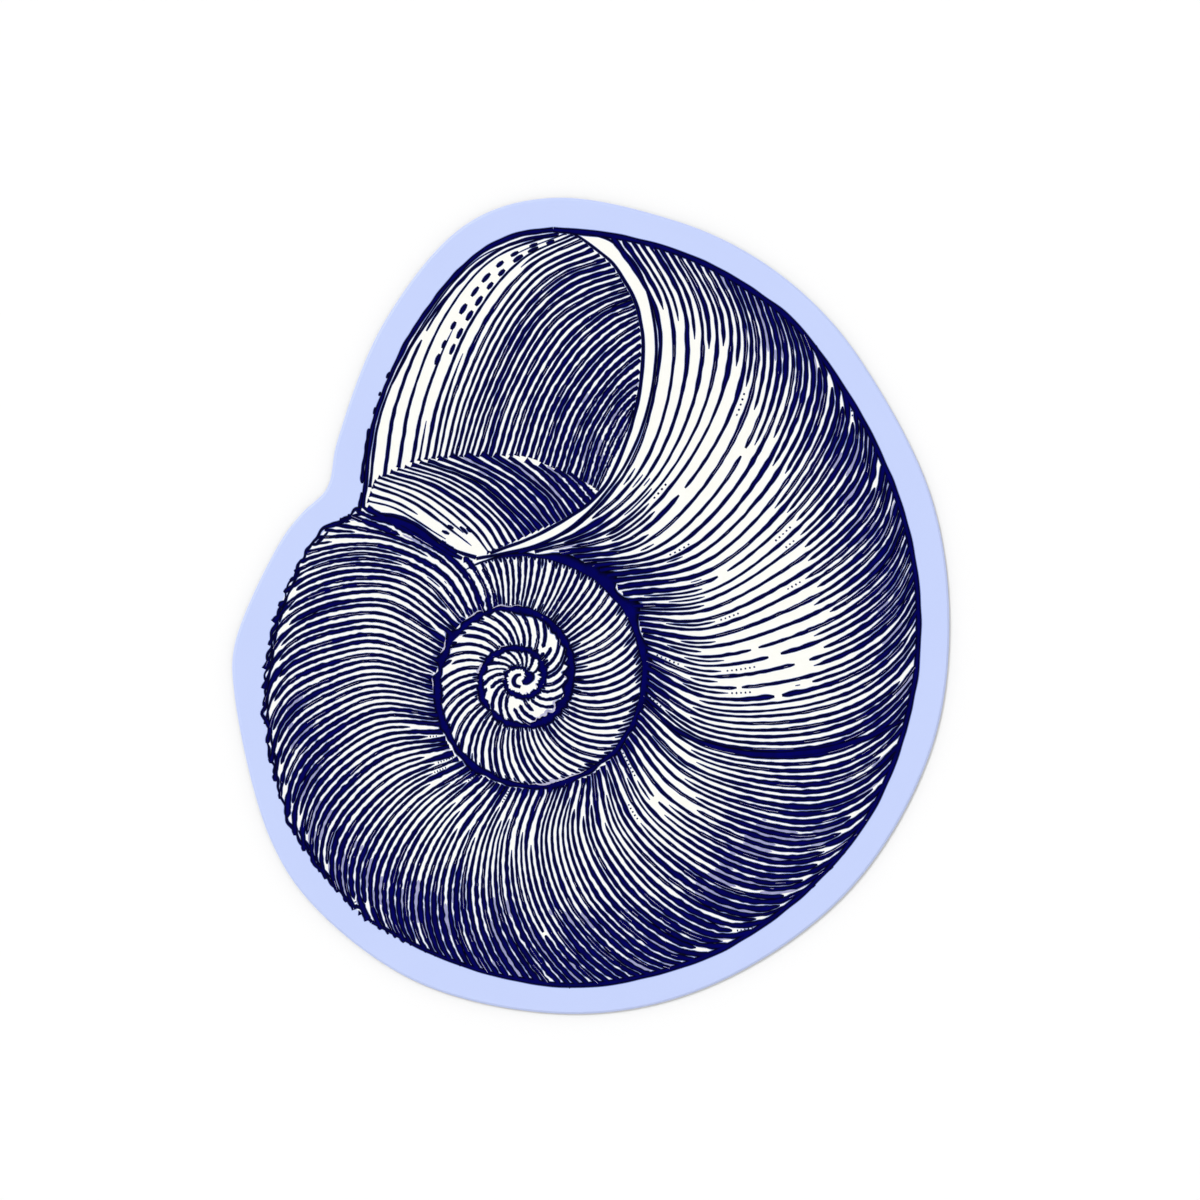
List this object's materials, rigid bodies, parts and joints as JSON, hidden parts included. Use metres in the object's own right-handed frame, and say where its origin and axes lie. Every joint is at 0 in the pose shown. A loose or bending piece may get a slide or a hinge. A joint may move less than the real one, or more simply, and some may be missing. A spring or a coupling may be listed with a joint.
{
  "type": "die-cut vinyl sticker",
  "caption": "Flat die-cut vinyl sticker on its backing paper, cut to the outline of a coiled snail shell that is printed on it as a line engraving, with a plain border.",
  "frame": {"origin": "middle of the outline's bounding box, on the underside of the backing paper", "axes": "+Z out of the printed face, +Y to the top of the print, +X to the right of the print"},
  "size_m": [0.067, 0.0762, 0.0003],
  "materials": {
    "printed_vinyl": "satin laminate over a periwinkle border and a navy line engraving on cream",
    "release_paper": "smooth off-white release paper"
  },
  "bodies": {
    "root": {"vinyl_face": "printed_vinyl", "backing_paper": "release_paper"}
  },
  "joints": []
}
